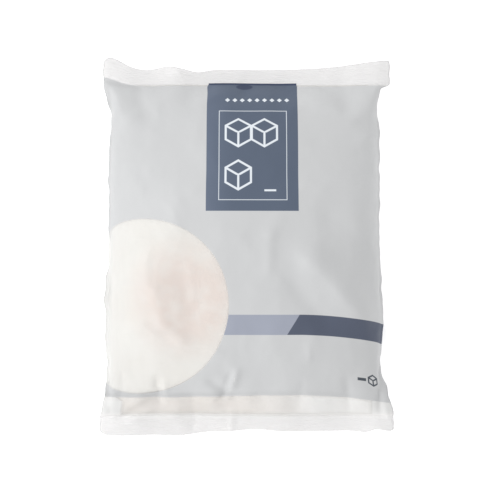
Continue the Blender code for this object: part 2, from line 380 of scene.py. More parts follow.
def layer_numbers(rows_apart):
    """Vertex numbers of two layers of film, which share their sides and all rows but rows_apart."""
    rows = BODY_ROWS + 2 * SEAL_ROWS + 1
    first = np.arange(rows * (COLUMNS + 1)).reshape(rows, COLUMNS + 1)
    second = first.copy()
    own = second[rows_apart, 1:-1]
    own[:] = first.size + np.arange(own.size).reshape(own.shape)
    return first, second


def add_object(name, data):
    added = bpy.data.objects.new(name, data)
    bpy.context.collection.objects.link(added)
    return added


def add_mesh(name, points, faces):
    mesh = bpy.data.meshes.new(name)
    mesh.from_pydata(points.tolist(), [], faces.tolist())
    return add_object(name, mesh)


def inwards(rows_y):
    """Distance of each row from the nearer seal, below 0 within the seals."""
    return np.minimum(rows_y - BOTTOM_SEAL_LINE, TOP_SEAL_LINE - rows_y)[:, None]


def hold_weights(rows_y, back):
    """How firmly the cloth step holds each point of the front and of the back in its place."""
    from_seal = inwards(rows_y)
    side_reach, seal_reach = HOLD_REACH
    away = np.minimum(ease(0.0, side_reach, FROM_SIDE), ease(0.0, seal_reach, from_seal))
    front_hold = FRONT_HOLD[0] + (FRONT_HOLD[1] - FRONT_HOLD[0]) * away
    front_hold = np.where(from_seal < 0, SEAL_HOLD, front_hold)
    front_hold[:, [0, -1]] = np.maximum(front_hold[:, [0, -1]], SIDE_HOLD)
    back_hold = np.where(back[..., 2] < ON_GROUND, BACK_HOLD[1], BACK_HOLD[0])
    return front_hold, back_hold


def set_cloth(film, flat_key):
    modifier = film.modifiers.new("Film", "CLOTH")
    cloth = modifier.settings
    cloth.quality = 6
    cloth.mass = 0.2
    cloth.tension_stiffness = 80
    cloth.compression_stiffness = 80
    cloth.shear_stiffness = 40
    cloth.bending_stiffness = 0.5
    cloth.tension_damping = 15
    cloth.compression_damping = 15
    cloth.shear_damping = 10
    cloth.bending_damping = 1.0
    cloth.air_damping = 3
    cloth.use_pressure = True
    cloth.uniform_pressure_force = 0.3
    cloth.vertex_group_mass = "hold"
    cloth.pin_stiffness = 1.0
    cloth.rest_shape_key = flat_key
    cloth.effector_weights.gravity = 0
    modifier.collision_settings.use_collision = False
    modifier.collision_settings.use_self_collision = False
    modifier.point_cache.frame_end = CLOTH_FRAMES


def settle_film(start, flat, hold, faces):
    """Lets the flat film pucker on the filled form, and returns where its points end up."""
    film = add_mesh("cloth", start * CLOTH_SCALE, faces)
    film.shape_key_add(name="Filled")
    flat_key = film.shape_key_add(name="Flat")
    flat_key.data.foreach_set("co", (flat * CLOTH_SCALE).ravel())
    group = film.vertex_groups.new(name="hold")
    rounded = hold.round(3)
    for weight in np.unique(rounded):
        group.add(np.nonzero(rounded == weight)[0].tolist(), float(weight), "REPLACE")
    set_cloth(film, flat_key)
    for step in range(1, CLOTH_FRAMES + 1):
        bpy.context.scene.frame_set(step)
    evaluated = film.evaluated_get(bpy.context.evaluated_depsgraph_get())
    settled = np.zeros(start.size)
    evaluated.data.vertices.foreach_get("co", settled)
    settled = settled.reshape(-1, 3) / CLOTH_SCALE
    bpy.data.objects.remove(film)
    bpy.context.scene.frame_set(1)
    move = settled - start
    distance = np.linalg.norm(move, axis=1, keepdims=True)
    move *= np.minimum(1.0, MOST_MOVE / np.maximum(distance, 1e-9))
    return start + move


def crease_height(x, y):
    """Height that the listed creases add to the film, each fading beyond its two ends."""
    height = np.zeros_like(x)
    for from_x, from_y, to_x, to_y, half_width, rise in CREASES:
        length = math.hypot(to_x - from_x, to_y - from_y)
        step_x = (to_x - from_x) / length
        step_y = (to_y - from_y) / length
        along = (x - from_x) * step_x + (y - from_y) * step_y
        across = (y - from_y) * step_x - (x - from_x) * step_y
        beyond = np.maximum(0.0, np.maximum(-along, along - length))
        height += rise * hump(across, 0.0, half_width) * hump(beyond, 0.0, CREASE_FADE * half_width)
    return height


def crumple(points, rows_y, seed):
    """Fine unevenness of film that was handled, most of it near the seals and the corners."""
    value = np.zeros(points.shape[:2])
    for place in np.ndindex(value.shape):
        at = Vector(points[place]) * CRUMPLE_SCALE + Vector((seed, 0.0, 0.0))
        value[place] = noise.ridged_multi_fractal(at, *CRUMPLE_NOISE)
    value -= value.mean()
    from_seal = inwards(rows_y)
    calm = ease(0.0, CALM[0], from_seal) * (0.4 + 0.6 * ease(0.0, CALM[1], FROM_SIDE))
    over_filling, at_edges = CRUMPLE_DEPTH
    depth = at_edges + (over_filling - at_edges) * calm
    depth *= 0.35 + 0.65 * ease(0.0, 0.006, FROM_SIDE) * (0.5 + 0.5 * ease(-0.004, 0.002, from_seal))
    return depth * value


def puckered(front, back, rows_y, rows_t):
    """The two sheets after the cloth step, in which the flat film settles on the filled form."""
    front_numbers, back_numbers = layer_numbers(slice(SEAL_ROWS + 1, SEAL_ROWS + BODY_ROWS))

    def joined(of_front, of_back):
        values = np.zeros((back_numbers.max() + 1, *of_front.shape[2:]))
        values[back_numbers] = of_back
        values[front_numbers] = of_front
        return values

    flat = np.zeros_like(front)
    flat[..., 0] = COLUMN_S
    flat[..., 1] = rows_t[:, None]
    body = back_numbers[SEAL_ROWS : SEAL_ROWS + BODY_ROWS + 1]
    faces = np.concatenate([cells(front_numbers, False), cells(body, True)])
    hold = joined(*hold_weights(rows_y, back))
    settled = settle_film(joined(front, back), joined(flat, flat), hold, faces)
    return settled[front_numbers], settled[back_numbers]


def sheets():
    """The front and the back film as grids of points, with the t of their rows."""
    rows_y, rows_t = film_rows()
    front = sheet_on_form(rows_y, True)
    back = sheet_on_form(rows_y, False)
    front, back = puckered(front, back, rows_y, rows_t)
    press_creases(front, back, rows_y)
    return front, back, rows_t


def press_creases(front, back, rows_y):
    """Adds the creases to both layers. Where they lie close together, both follow the front's."""
    side_scale, side_depth, side_reach = SIDE_WAVERS
    near_side = 1 - ease(0.0, side_reach, FROM_SIDE)
    for row, y in enumerate(rows_y):
        left = noise.noise((y * side_scale, 3.0, 0.0))
        right = noise.noise((y * side_scale, 11.0, 0.0))
        move = side_depth * near_side * np.where(COLUMN_S < 0, left, right)
        front[row, :, 0] += move
        back[row, :, 0] += move
    between = np.linalg.norm(front - back, axis=-1)
    apart = ease(*LAYERS_CLOSE, between)
    front_change = crease_height(front[..., 0], front[..., 1]) + crumple(front, rows_y, 0.0)
    back_change = ease(*BACK_FREE, back[..., 2]) * crumple(back, rows_y, 7.0)
    back[..., 2] += front_change + apart * (back_change - front_change)
    front[..., 2] += front_change
    crossed = np.maximum(0.0, LAYER_GAP - (front[..., 2] - back[..., 2]))
    front[..., 2] += 0.5 * crossed
    back[..., 2] -= 0.5 * crossed
    back[:, [0, -1]] = front[:, [0, -1]]


def grid_normals(points):
    """Upward normals of a grid of points."""
    across = np.gradient(points, axis=1)
    along = np.gradient(points, axis=0)
    normal = np.cross(across, along)
    return normal / np.maximum(np.linalg.norm(normal, axis=-1, keepdims=True), 1e-12)


def lay_out_print(mesh, rows_t):
    """Writes s and t of the film into its UV layer. s runs on round the back from the right side."""
    s, t = np.meshgrid(COLUMN_S, rows_t)
    front = np.stack([s, t], axis=-1)
    back = np.stack([FLAT_WIDTH - s, t], axis=-1)
    row, column = np.meshgrid(np.arange(len(rows_t) - 1), np.arange(COLUMNS), indexing="ij")
    corners = [(row, column), (row, column + 1), (row + 1, column + 1), (row + 1, column)]
    front_uv = np.stack([front[corner] for corner in corners], axis=2)
    back_uv = np.stack([back[corner] for corner in reversed(corners)], axis=2)
    layer = mesh.uv_layers.new(name="film")
    layer.data.foreach_set("uv", np.concatenate([front_uv, back_uv]).ravel())


def sharpen_rim(mesh, upper):
    """Keeps the outer rim of the film crisp when it is subdivided."""
    rim = np.zeros(len(mesh.vertices), bool)
    rim[upper[[0, -1]]] = True
    rim[upper[:, [0, -1]]] = True
    edge_ends = np.zeros(len(mesh.edges) * 2, int)
    mesh.edges.foreach_get("vertices", edge_ends)
    on_rim = rim[edge_ends.reshape(-1, 2)].all(axis=1)
    sharpness = mesh.attributes.new("crease_edge", "FLOAT", "EDGE")
    sharpness.data.foreach_set("value", np.where(on_rim, RIM_CREASE, 0.0))


def subdivide(film):
    """Gives the film a mesh that is subdivided once."""
    fine = film.modifiers.new("Fine", "SUBSURF")
    fine.levels = 1
    fine.uv_smooth = "NONE"
    mesh = bpy.data.meshes.new_from_object(film.evaluated_get(bpy.context.evaluated_depsgraph_get()))
    film.modifiers.clear()
    film.data = mesh
    mesh.name = "bag_film"


def make_film(front, back, rows_t):
    """The film as one closed skin. In the seals its two layers lie a hair apart."""
    in_seal = (np.abs(rows_t) > 0.5 * FLAT_BODY - 1e-6)[:, None, None]
    upper, under = layer_numbers(slice(1, -1))
    is_apart = np.zeros((*upper.shape, 1), bool)
    is_apart[1:-1, 1:-1] = in_seal[1:-1]
    gap = 0.5 * LAYER_GAP * is_apart * grid_normals(front)
    points = np.zeros((under.max() + 1, 3))
    points[under] = np.where(in_seal, front, back) - gap
    points[upper] = front + gap
    points[:, 2] = np.maximum(points[:, 2], 0.0)
    faces = np.concatenate([cells(upper, False), cells(under, True)])
    film = add_mesh("bag_film", points, faces)
    lay_out_print(film.data, rows_t)
    sharpen_rim(film.data, upper)
    subdivide(film)
    press_ribs(film.data)
    film.data.shade_smooth()
    return film


def press_ribs(mesh):
    """Embosses the crimp of the seals, ribs that run across the bag."""
    loops = np.zeros(len(mesh.loops), int)
    mesh.loops.foreach_get("vertex_index", loops)
    uv = np.zeros(len(loops) * 2)
    mesh.uv_layers["film"].data.foreach_get("uv", uv)
    t = np.zeros(len(mesh.vertices))
    t[loops] = uv.reshape(-1, 2)[:, 1]
    points = np.zeros(len(t) * 3)
    mesh.vertices.foreach_get("co", points)
    points = points.reshape(-1, 3)
    into_seal = np.abs(t) - 0.5 * FLAT_BODY
    depth = ease(RIB_STEP, 2 * RIB_STEP, into_seal) * ease(FLAT_SEAL, FLAT_SEAL - RIB_STEP, into_seal)
    points[:, 2] += RIB_HEIGHT * depth * np.sin(2 * np.pi * into_seal / RIB_PITCH)
    mesh.vertices.foreach_set("co", points.ravel())
    mesh.update()


def spread(empty):
    """Empty columns of each row, raised to the most of the rows around it and then evened out."""
    for gather in (np.max, np.mean):
        padded = np.pad(empty, SPREAD_ROWS, mode="edge")
        around = [padded[shift : shift + len(empty)] for shift in range(2 * SPREAD_ROWS + 1)]
        empty = gather(around, axis=0)
    return empty


def sugar_ends(room):
    """First and last column of each row of the body between which the film has room for sugar."""
    inner = np.clip(np.arange(len(room)), EMPTY_ROWS, len(room) - 1 - EMPTY_ROWS)
    is_wide = room[inner] > SUGAR_ROOM
    middle = COLUMNS // 2
    left = np.argmax(is_wide[:, :middle], axis=1)
    right = np.argmax(is_wide[:, ::-1][:, :middle], axis=1)
    return spread(np.maximum(EMPTY_COLUMNS, left)), COLUMNS - spread(np.maximum(EMPTY_COLUMNS, right))


def make_sugar(front, back):
    """The filling, one closed body just inside the film."""
    body = slice(SEAL_ROWS, SEAL_ROWS + BODY_ROWS + 1)
    room = np.linalg.norm(front[body] - back[body], axis=-1)
    inset = np.minimum(FILM_TO_SUGAR, 0.35 * room)[..., None]
    upper = front[body] - inset * grid_normals(front)[body]
    lower = back[body] + inset * grid_normals(back)[body]
    column = np.arange(COLUMNS + 1)
    for row, (first, last) in enumerate(zip(*sugar_ends(room))):
        at = np.linspace(first, last, COLUMNS + 1)
        for sheet in (upper, lower):
            sheet[row] = resampled(sheet[row], column, at)
    for sheet in (upper, lower):
        sheet[0] += SUGAR_TO_SEAL * (sheet[1] - sheet[0])
        sheet[-1] += SUGAR_TO_SEAL * (sheet[-2] - sheet[-1])
    numbers = np.arange(upper.shape[0] * upper.shape[1]).reshape(upper.shape[:2])
    under = numbers + numbers.size
    rim = np.concatenate([numbers[0, :-1], numbers[:-1, -1], numbers[-1, :0:-1], numbers[:0:-1, 0]])
    following = np.roll(rim, -1)
    wall = np.stack([rim, rim + numbers.size, following + numbers.size, following], axis=1)
    faces = np.concatenate([cells(numbers, False), cells(under, True), wall])
    points = np.concatenate([upper.reshape(-1, 3), lower.reshape(-1, 3)])
    sugar = add_mesh("sugar_fill", points, faces)
    sugar.data.shade_smooth()
    return sugar


def colour(red, green, blue):
    """A colour of the screen, 0 to 255, as the linear colour that a shader takes."""
    shares = (value / 255 for value in (red, green, blue))
    linear = [share / 12.92 if share <= 0.04045 else ((share + 0.055) / 1.055) ** 2.4 for share in shares]
    return (*linear, 1.0)


# The print, in the film's own coordinates.
PRINT_TOP = 0.1113
PRINT_BOTTOM = -0.0948
INK_EDGE = 0.00025  # softness of its edges
EDGE_PAINTED_SHADE = (0.0015, 0.0015, 0.085)  # painted shade of the crease along the print's lower edge: how far in, half width and how much darker
EDGE_PAINTED_SHADE_FADE = (0.0944, -0.0167)  # s where that painted shade sets in, and where it is full
# Painted shade near the side folds: reach, how much darker, t where it sets in, and t where it is full.
RIGHT_FOLD_PAINTED_SHADE = (0.075, 0.058, 0.045, -0.005)
LEFT_FOLD_PAINTED_SHADE = (0.034, 0.105, 0.1, 0.08)
INK_UNEVEN = (0.05, 0.975)  # of the ink's brightness: how much comes from the noise, and the rest
UNEVEN = (34.0, 3.0)  # scale and detail of that noise
LAP_HALF = 0.005  # half the width of the lap seam down the middle of the back
LAP_SOFT = 0.0006
LAP_LINE = (0.0003, 0.14)  # of its free edge: half width, and how much darker
LAP_RIBS = (0.08, 0.5)  # height of its ribs and of the lap itself
SLIP = (0.058, 0.007, 0.25)  # of the print near the right fold: from how far, how far down, and first slope
SLIP_HEIGHT = (0.01, -0.03)  # t where the slip sets in, and where it is full
TOP_RISE = (0.03, 0.2)  # how far from the left fold its top edge rises, and by how much for each metre
BOTTOM_TILT = (-0.045, 0.015, 0.0019)  # of its lower edge: between which s, and how far up
WINDOW = (-0.0651, -0.0362, 0.0559)  # s, t and radius
WINDOW_LEAN = 0.022
LABEL = (-0.0236, 0.0337, 0.0245, 0.1153)  # left, right, bottom and top
LABEL_FOLD = (0.0, 0.1108, 0.0052, 0.0036)  # of the painted fold shadow at the label's top: its middle, half width and half height
LABEL_FOLD_TOP = 0.1136  # t above which the label is all in the painted fold shadow
LABEL_FOLD_SOFT = 0.0012
LABEL_FRAME = (-0.0157, 0.0265, 0.0314, 0.0891)  # the middle of its line
FRAME_LINE = 0.0004
DIAMONDS = (0.0081, 0.0978, 0.0047, 0.0016)  # middle of the row, t, pitch and half size
DIAMOND_COUNT = 9
CUBE = 0.0091  # from the middle of a drawn cube to its corners
CUBE_LINE = 0.0013
CUBES = ((-0.0037, 0.0741), (0.0126, 0.0741), (-0.0037, 0.0469))
COS_30 = 0.866  # of the slant of its lines
DASH = (0.0125, 0.0198, 0.0367, 0.0379)
STRIPE = (-0.0528, -0.0401)  # bottom and top
STRIPE_START = -0.0139
STRIPE_END = 1.0  # beyond the film, as the stripe runs on over the back
STRIPE_SLANT = (0.0263, 0.58)  # s at its bottom, and how far it leans for each metre up
SMALL_MARK = (0.0825, -0.0785)
SMALL_CUBE = (0.0036, 0.001)  # from its middle to its corners, and its line
SMALL_BAR = (-0.0105, -0.0048, 0.001)  # left and right from the middle of the cube, and half height

GREY_INK = colour(206, 207, 208)
LABEL_INK = colour(91, 102, 120)
# paler blue: painted light inside the label's left side
LABEL_INK_PAINTED_LIGHT = colour(102, 113, 132)
LABEL_LIGHT_WIDTH = 0.016  # width of the painted light inside the label's left side
# painted shadow of a fold at the top of the label
LABEL_FOLD_SHADOW = colour(62, 71, 95)
PALE_STRIPE_INK = colour(162, 167, 181)
DARK_STRIPE_INK = colour(86, 93, 110)
WHITE_INK = colour(232, 238, 244)
DARK_INK = colour(78, 84, 92)
CLEAR_FILM = colour(243, 242, 241)
# hazier, darker film near the left fold: haze and painted shade
FLANK_PAINTED_SHADE_FILM = colour(231, 231, 229)
FLANK_PAINTED_SHADE = (0.036, 0.8)  # reach of the hazier, darker film from the left fold, painted shade against the strong light there, and its alpha there
FLANK_SOFT = 0.008
SEAL_FILM = colour(235, 234, 234)
SEAL_OVERLAP = 0.0016  # how far the look of the seals runs into the body
SEAL_SOFT = 0.0024
BAND_FILM = colour(235, 229, 228)
BAND_SOFT = 0.004
# near-white haze on the clear band, painted light that lifts the shade of its right part
HAZE_PAINTED_LIGHT_FILM = colour(253, 253, 253)
BAND_PAINTED_LIGHT_HAZE = (0.005, 0.045, 0.66)  # of the hazy film with painted light below the print: between which s, and its alpha
SEAL_LINE_PAINTED_LIGHT = colour(246, 245, 244)  # painted light that lifts the shade of the steep film where the bottom seal begins
SEAL_LINE = (0.0026, 0.0026, 0.85)  # of that painted light: how far into the body its middle is, half width and alpha
CORNER_FILM = colour(234, 234, 233)
CORNER = (0.088, 0.098, 0.015, 0.9)  # between which t the corners set in, their width and alpha
FOLD_WIDTH = 0.003  # of the hazy film along the side folds
FOLD_SOFT = 0.0035
CLEAR_ALPHA = 0.32
SEAL_ALPHA = 0.62
FOLD_ALPHA = 0.6
FILM_ROUGHNESS = (0.34, 0.46, 0.06)  # of bare film and of print, and how much the noise adds
FILM_RELIEF = (0.5, 0.0006)  # strength and height
CREASE_STRETCH = (150.0, 26.0, 1.0)  # creases for each metre across and along
CREASE_REACH = 0.03  # from the seals
CRACKLE = (130.0, 0.2)  # scale and height
FINE_NOISE = (3.0, 0.55)  # detail and roughness of the noise of both

# The look of the sugar.
DULL_SUGAR = colour(243, 240, 234)
BRIGHT_SUGAR = colour(247, 246, 242)
# warm and darker: painted shade in the dent of the window
WARM_SUGAR_PAINTED_SHADE = colour(237, 222, 213)
# Noises that turn dull sugar bright, and white sugar into the warm painted shade of the dent: scale, detail,
# and values for none and all.
PATCHES = (38.0, 2.0, 0.2917, 0.7083)
MOTTLING = (120.0, 3.0, 0.0278, 0.5833)
DENT_PAINTED_SHADE = (-0.037, -0.032, 0.031)  # painted shade in the dent of the window, warmer and darker: x, y and radius
DENT_SHADE_SOFT = 0.022
GRAINS_PER_METRE = 1500.0
GRAIN_SHADE = (-0.09, 0.98)  # by how much a grain darkens outwards, and its brightness in the middle
SUGAR_RELIEF = (0.3, 0.0004)

# Floor, light and camera.
FLOOR_REACH = 4.0
FLOOR_GREY = (0.93, 0.93, 0.93, 1)
FLOOR_GLOW = 0.42
SKY_STRENGTH = 0.8
KEY_PLACE = (-1.19, -0.04, 1.05)
KEY_SIZE = 1.0
KEY_WATTS = 9.7
CAMERA_PLACE = (0.0021, -0.002, 1.12)
FRAME_SIZE = 0.3178  # what the picture takes in at the height of the bag's outline
OUTLINE_HEIGHT = 0.018


def fill(node, values):
    """Sets inputs of a node, by name or number, to values or links them to other nodes' outputs."""
    for name, value in values.items():
        socket = node.inputs[name]
        if isinstance(value, bpy.types.NodeSocket):
            socket.id_data.links.new(value, socket)
        else:
            socket.default_value = value


class Graph:
    """Adds nodes to a material or a node group, with numbers or outputs as their inputs."""

    def __init__(self, tree):
        self.tree = tree

    def node(self, kind, **settings):
        made = self.tree.nodes.new(kind)
        for name, value in settings.items():
            setattr(made, name, value)
        return made

    def math(self, operation, first, second=0.0, third=0.0, clamp=False):
        made = self.node("ShaderNodeMath", operation=operation, use_clamp=clamp)
        fill(made, {0: first, 1: second, 2: third})
        return made.outputs[0]

    def minus(self, first, second):
        return self.math("SUBTRACT", first, second)

    def times(self, first, second):
        return self.math("MULTIPLY", first, second)

    def scaled(self, value, factor, offset):
        """value times factor, plus offset."""
        return self.math("MULTIPLY_ADD", value, factor, offset)

    def size(self, value):
        return self.math("ABSOLUTE", value)

    def apart(self, first, second):
        return self.size(self.minus(first, second))

    def least(self, first, *others):
        for other in others:
            first = self.math("MINIMUM", first, other)
        return first

    def most(self, first, *others):
        for other in others:
            first = self.math("MAXIMUM", first, other)
        return first

    def ramp(self, value, at_zero, at_one):
        """0 to 1 as value goes from at_zero to at_one, and level beyond."""
        slope = 1 / (at_one - at_zero)
        return self.math("MULTIPLY_ADD", value, slope, -at_zero * slope, clamp=True)

    def inside(self, distance, soft=INK_EDGE):
        """1 where distance is above 0, with an edge as wide as soft."""
        return self.ramp(distance, -0.5 * soft, 0.5 * soft)

    def blend(self, share, first, second):
        """A number from first to second as share goes from 0 to 1."""
        made = self.node("ShaderNodeMix", data_type="FLOAT")
        fill(made, {0: share, 2: first, 3: second})
        return made.outputs[0]

    def mix(self, share, first, second, blend_type="MIX"):
        """A colour from first to second as share goes from 0 to 1."""
        made = self.node("ShaderNodeMix", data_type="RGBA", blend_type=blend_type)
        fill(made, {0: share, 6: first, 7: second})
        return made.outputs[2]

    def shaded(self, ink, brightness):
        """A colour times a number."""
        grey = self.node("ShaderNodeCombineColor")
        fill(grey, {0: brightness, 1: brightness, 2: brightness})
        return self.mix(1.0, ink, grey.outputs[0], "MULTIPLY")

    def axes(self, vector):
        made = self.node("ShaderNodeSeparateXYZ")
        fill(made, {0: vector})
        return made.outputs

    def box(self, s, t, left, right, bottom, top):
        """Distance inwards from the nearest side of a box."""
        across = self.least(self.minus(s, left), self.minus(right, s))
        return self.least(across, self.minus(t, bottom), self.minus(top, t))

    def disc(self, s, t, at_s, at_t, radius):
        """Distance inwards from the rim of a disc."""
        ds = self.minus(s, at_s)
        dt = self.minus(t, at_t)
        squares = self.math("ADD", self.times(ds, ds), self.times(dt, dt))
        return self.minus(radius, self.math("SQRT", squares))

    def noise(self, vector, scale, detail, roughness=0.5):
        made = self.node("ShaderNodeTexNoise")
        fill(made, {"Vector": vector, "Scale": scale, "Detail": detail, "Roughness": roughness})
        return made.outputs["Fac"]

    def patches(self, vector, scale, detail, at_zero, at_one):
        return self.ramp(self.noise(vector, scale, detail), at_zero, at_one)

    def relief(self, shader, height, strength, distance):
        """Fine bumps on the surface of a shader."""
        made = self.node("ShaderNodeBump")
        fill(made, {"Height": height, "Strength": strength, "Distance": distance})
        fill(shader, {"Normal": made.outputs[0]})


def new_material(name):
    """A material with its graph and its shader."""
    material = bpy.data.materials.new(name)
    material.use_nodes = True
    return material, Graph(material.node_tree), material.node_tree.nodes["Principled BSDF"]


def cube_group():
    """A node group that gives how near a point is to the lines of a cube drawn at a slant, 0 to 1."""
    tree = bpy.data.node_groups.new("Drawn cube", "ShaderNodeTree")
    for name in ("s", "t", "Corner", "Line"):
        tree.interface.new_socket(name=name, in_out="INPUT", socket_type="NodeSocketFloat")
    tree.interface.new_socket(name="Ink", in_out="OUTPUT", socket_type="NodeSocketFloat")
    graph = Graph(tree)
    given = graph.node("NodeGroupInput").outputs
    aside = graph.size(given["s"])
    up = given["t"]
    across = graph.most(aside, graph.scaled(aside, 0.5, graph.times(graph.size(up), COS_30)))
    outline = graph.scaled(given["Corner"], COS_30, graph.times(across, -1.0))
    off_top_edge = graph.apart(graph.times(aside, 0.5), graph.times(up, COS_30))
    is_above = graph.math("GREATER_THAN", up, 0.0)
    is_outside = graph.math("LESS_THAN", outline, 0.0)
    spoke = graph.math("ADD", graph.blend(is_above, aside, off_top_edge), is_outside)
    nearest = graph.least(graph.size(outline), spoke)
    ink = graph.inside(graph.minus(graph.times(given["Line"], 0.5), nearest))
    fill(graph.node("NodeGroupOutput"), {"Ink": ink})
    return tree


def drawn_cube(graph, group, s, t, middle, corner, line):
    made = graph.node("ShaderNodeGroup", node_tree=group)
    fill(made, {"s": graph.minus(s, middle[0]), "t": graph.minus(t, middle[1])})
    fill(made, {"Corner": corner, "Line": line})
    return made.outputs["Ink"]


def slipped_t(graph, s, t):
    """t of the lower print, which slips down towards the right fold, and less and less on the back."""
    reach, down, first_slope = SLIP
    on_front = graph.ramp(s, 0.5 * FLAT_WIDTH - reach, 0.5 * FLAT_WIDTH)
    on_back = graph.ramp(s, 1.5 * FLAT_WIDTH, 0.5 * FLAT_WIDTH)
    near_fold = graph.least(on_front, on_back)
    steeper = graph.scaled(near_fold, down * (1 - first_slope), down * first_slope)
    return graph.scaled(graph.times(near_fold, steeper), graph.ramp(t, *SLIP_HEIGHT), t)


def outside_window(graph, s, t):
    """Distance outwards from the rim of the window, which leans a little."""
    window_s, window_t, radius = WINDOW
    around = graph.math("WRAP", graph.minus(s, window_s), FLAT_WIDTH, -FLAT_WIDTH)
    up = graph.minus(t, window_t)
    leant_s = graph.scaled(up, -WINDOW_LEAN, around)
    leant_t = graph.scaled(around, -WINDOW_LEAN, up)
    return graph.times(graph.disc(leant_s, leant_t, 0.0, 0.0, radius), -1.0)


class FilmPlace:
    """Sockets that tell where a point of the film lies, in the flat film's own s and t."""

    def __init__(self, graph):
        self.uv = graph.node("ShaderNodeUVMap", uv_map="film").outputs["UV"]
        self.s, self.t = graph.axes(self.uv)[:2]
        self.solid = graph.node("ShaderNodeTexCoord").outputs["Object"]
        self.uneven = graph.noise(self.solid, *UNEVEN)
        self.from_right_fold = graph.apart(self.s, 0.5 * FLAT_WIDTH)
        self.from_left_fold = graph.apart(self.from_right_fold, FLAT_WIDTH)
        self.low_t = slipped_t(graph, self.s, self.t)
        self.outside_window = outside_window(graph, self.s, self.t)
        tilt_start, tilt_end, tilt_rise = BOTTOM_TILT
        bottom = graph.scaled(graph.ramp(self.s, tilt_start, tilt_end), tilt_rise, PRINT_BOTTOM)
        self.above_bottom = graph.minus(self.low_t, bottom)


def printed_field(graph, place):
    """1 where the film is printed, which leaves out the seals, the window and the clear band."""
    rise_reach, rise_rate = TOP_RISE
    rise = graph.most(graph.minus(rise_reach, place.from_left_fold), 0.0)
    below_top = graph.minus(graph.scaled(rise, rise_rate, PRINT_TOP), place.t)
    return graph.inside(graph.least(below_top, place.above_bottom, place.outside_window))


def stripe_ink(graph, place):
    """The grey field with the stripe, whose right part is dark."""
    bottom, top = STRIPE
    slant_s, lean = STRIPE_SLANT
    stripe = graph.box(place.s, place.low_t, STRIPE_START, STRIPE_END, bottom, top)
    slant = graph.scaled(graph.minus(place.low_t, bottom), lean, slant_s)
    is_dark = graph.inside(graph.minus(place.s, slant))
    ink = graph.mix(is_dark, PALE_STRIPE_INK, DARK_STRIPE_INK)
    return graph.mix(graph.inside(graph.least(stripe, place.outside_window)), GREY_INK, ink)


def label_ink(graph, place):
    """The blue of the label, with painted light inside its left side and a painted fold shadow at its top.
    """
    # A painted shadow of a fold at the label's top.
    fold_s, fold_t, fold_width, fold_height = LABEL_FOLD
    flatness = fold_width / fold_height
    fold = graph.disc(place.s, graph.times(place.t, flatness), fold_s, fold_t * flatness, fold_width)
    fold = graph.inside(graph.most(fold, graph.minus(place.t, LABEL_FOLD_TOP)), LABEL_FOLD_SOFT)
    # Painted light inside the label's left side.
    lit_left = graph.ramp(place.s, LABEL[0] + LABEL_LIGHT_WIDTH, LABEL[0])
    ink = graph.mix(lit_left, LABEL_INK, LABEL_INK_PAINTED_LIGHT)
    return graph.mix(fold, ink, LABEL_FOLD_SHADOW)


def label_lines(graph, place, cube):
    """The white line work of the label: a thin frame, a row of diamonds, sugar cubes and a dash."""
    s, t = place.s, place.t
    beside_frame = graph.size(graph.box(s, t, *LABEL_FRAME))
    row_s, row_t, pitch, half = DIAMONDS
    from_middle = graph.minus(s, row_s)
    along_row = graph.math("PINGPONG", from_middle, 0.5 * pitch)
    diamond = graph.minus(half, graph.math("ADD", along_row, graph.apart(t, row_t)))
    row_end = graph.minus(0.5 * DIAMOND_COUNT * pitch, graph.size(from_middle))
    return graph.most(
        graph.inside(graph.minus(0.5 * FRAME_LINE, beside_frame)),
        graph.inside(graph.box(s, t, *DASH)),
        graph.inside(graph.least(diamond, row_end)),
        *(drawn_cube(graph, cube, s, t, middle, CUBE, CUBE_LINE) for middle in CUBES),
    )


def small_mark(graph, place, cube):
    """The small cube below the stripe, with the bar beside it."""
    mark_s, mark_t = SMALL_MARK
    left, right, half = SMALL_BAR
    mark = drawn_cube(graph, cube, place.s, place.low_t, SMALL_MARK, *SMALL_CUBE)
    bar = graph.box(place.s, place.low_t, mark_s + left, mark_s + right, mark_t - half, mark_t + half)
    return graph.most(mark, graph.inside(bar))


def ink_brightness(graph, place):
    """Uneven, darker beside the lap seam, and with painted shade along the print's lower edge and near the
    side folds.
    """
    # Painted shade of the crease along the print's lower edge.
    edge_in, edge_half, edge_dark = EDGE_PAINTED_SHADE
    at_edge = graph.ramp(graph.apart(place.above_bottom, edge_in), 2 * edge_half, 0.0)
    line_half, line_dark = LAP_LINE
    shades = [
        (graph.times(at_edge, graph.ramp(place.s, *EDGE_PAINTED_SHADE_FADE)), edge_dark),
        (graph.inside(graph.minus(line_half, graph.apart(place.s, FLAT_WIDTH + LAP_HALF))), line_dark),
    ]
    # Painted shade near the side folds, where less light falls.
    for from_fold, fold_shade in ((place.from_right_fold, RIGHT_FOLD_PAINTED_SHADE), (place.from_left_fold, LEFT_FOLD_PAINTED_SHADE)):
        reach, dark, end_t, full_t = fold_shade
        near_fold = graph.ramp(from_fold, reach, 0.0)
        shades.append((graph.times(near_fold, graph.ramp(place.t, end_t, full_t)), dark))
    brightness = graph.scaled(place.uneven, *INK_UNEVEN)
    for share, dark in shades:
        brightness = graph.scaled(share, -dark, brightness)
    return brightness


def print_ink(graph, place, label):
    """Colour of the print, with the label where label is 1."""
    cube = cube_group()
    ink = graph.mix(label, stripe_ink(graph, place), label_ink(graph, place))
    ink = graph.mix(graph.times(label_lines(graph, place, cube), label), ink, WHITE_INK)
    ink = graph.mix(small_mark(graph, place, cube), ink, DARK_INK)
    return graph.shaded(ink, ink_brightness(graph, place))


